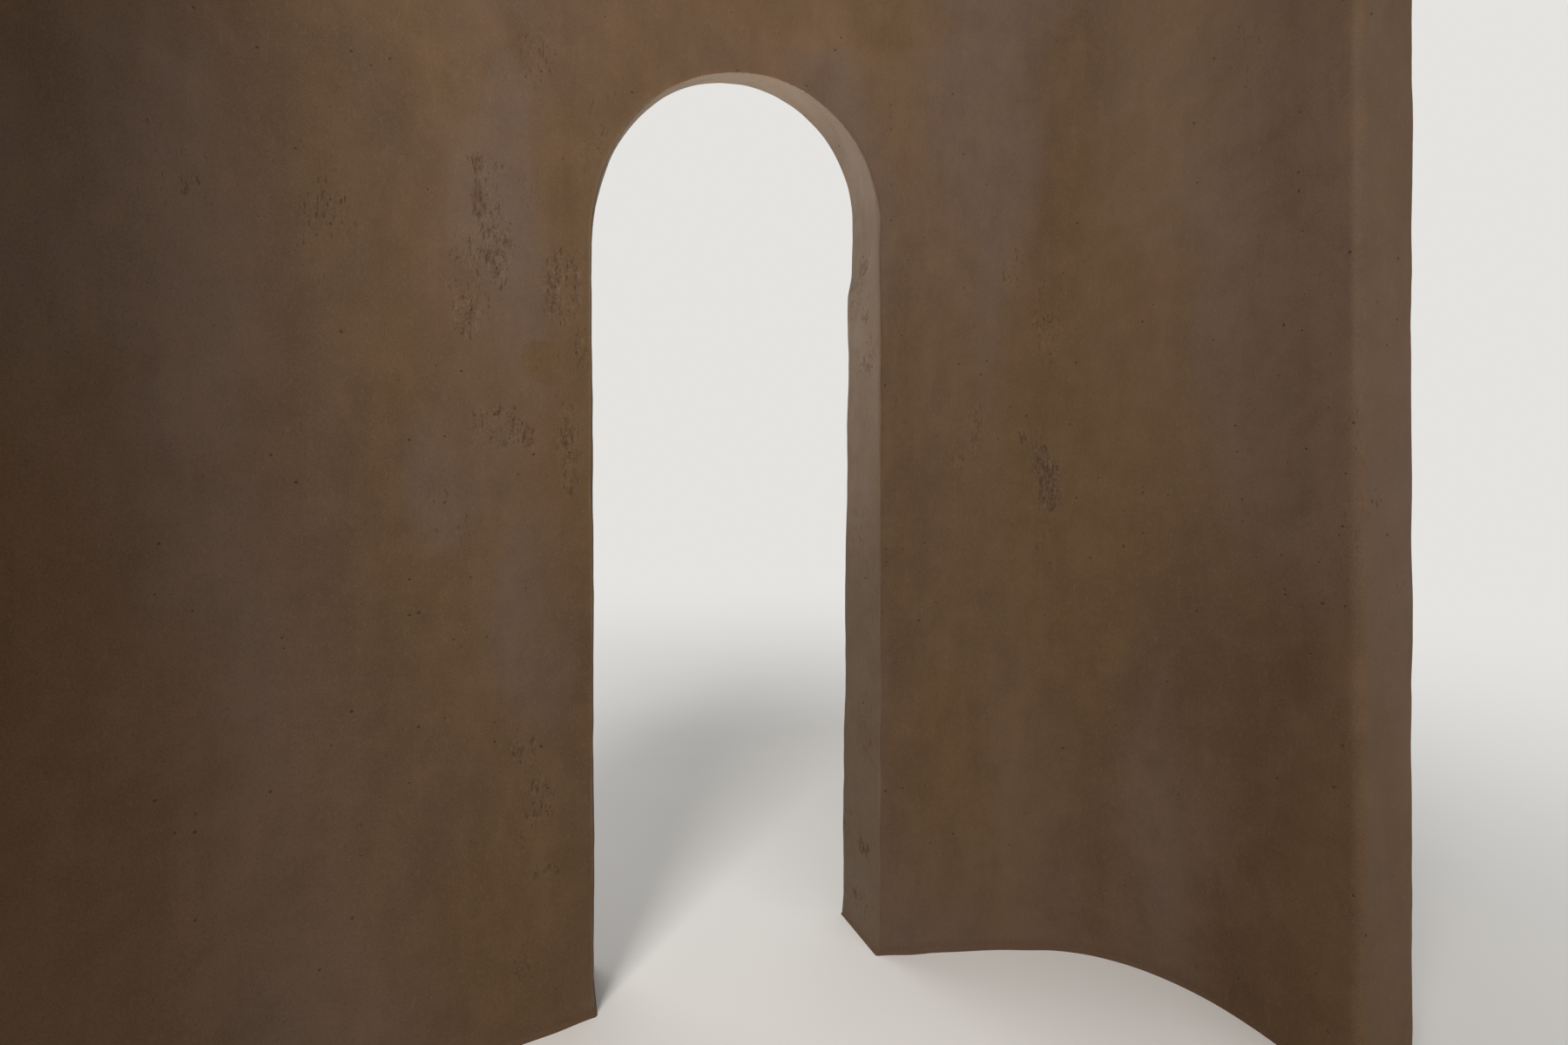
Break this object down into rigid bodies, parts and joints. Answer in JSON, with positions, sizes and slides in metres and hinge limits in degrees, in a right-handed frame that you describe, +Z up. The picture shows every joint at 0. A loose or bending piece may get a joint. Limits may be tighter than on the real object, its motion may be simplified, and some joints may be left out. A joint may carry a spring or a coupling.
{
  "type": "arched passage wall",
  "caption": "Thick hand-plastered wall, hollow in plan with rounded corners and short returns, pierced by a tall round-headed doorless passage whose soffit rises to the back.",
  "frame": {"origin": "middle of the footprint's bounding box, on the floor plane", "axes": "+Z up; -Y is the hollow front that the picture shows, +Y the bowed back; the passage runs along Y; +X is the right as seen from the front"},
  "size_m": [2.727, 0.8544, 2.8],
  "materials": {
    "wall_plaster": "hand-trowelled earth plaster, matt with a slight burnish",
    "passage_plaster": "smoother, greyer plaster, matt",
    "toe_plaster": "rough plaster, matt"
  },
  "bodies": {
    "root": {"left_return": "wall_plaster", "left_corner": "wall_plaster", "left_wing": "wall_plaster", "left_jamb": "passage_plaster", "left_haunch": "passage_plaster", "arch_crown": "passage_plaster", "right_haunch": "passage_plaster", "right_jamb": "passage_plaster", "right_wing": "wall_plaster", "right_corner": "wall_plaster", "right_return": "wall_plaster", "head_wall": "wall_plaster", "left_wing_toe_front": "toe_plaster", "left_wing_toe_back": "toe_plaster", "left_corner_toe_front": "toe_plaster", "left_corner_toe_back": "toe_plaster", "left_return_toe_front": "toe_plaster", "left_return_toe_back": "toe_plaster", "right_wing_toe_front": "toe_plaster", "right_wing_toe_back": "toe_plaster", "right_corner_toe_front": "toe_plaster", "right_corner_toe_back": "toe_plaster", "right_return_toe_front": "toe_plaster", "right_return_toe_back": "toe_plaster"}
  },
  "joints": []
}
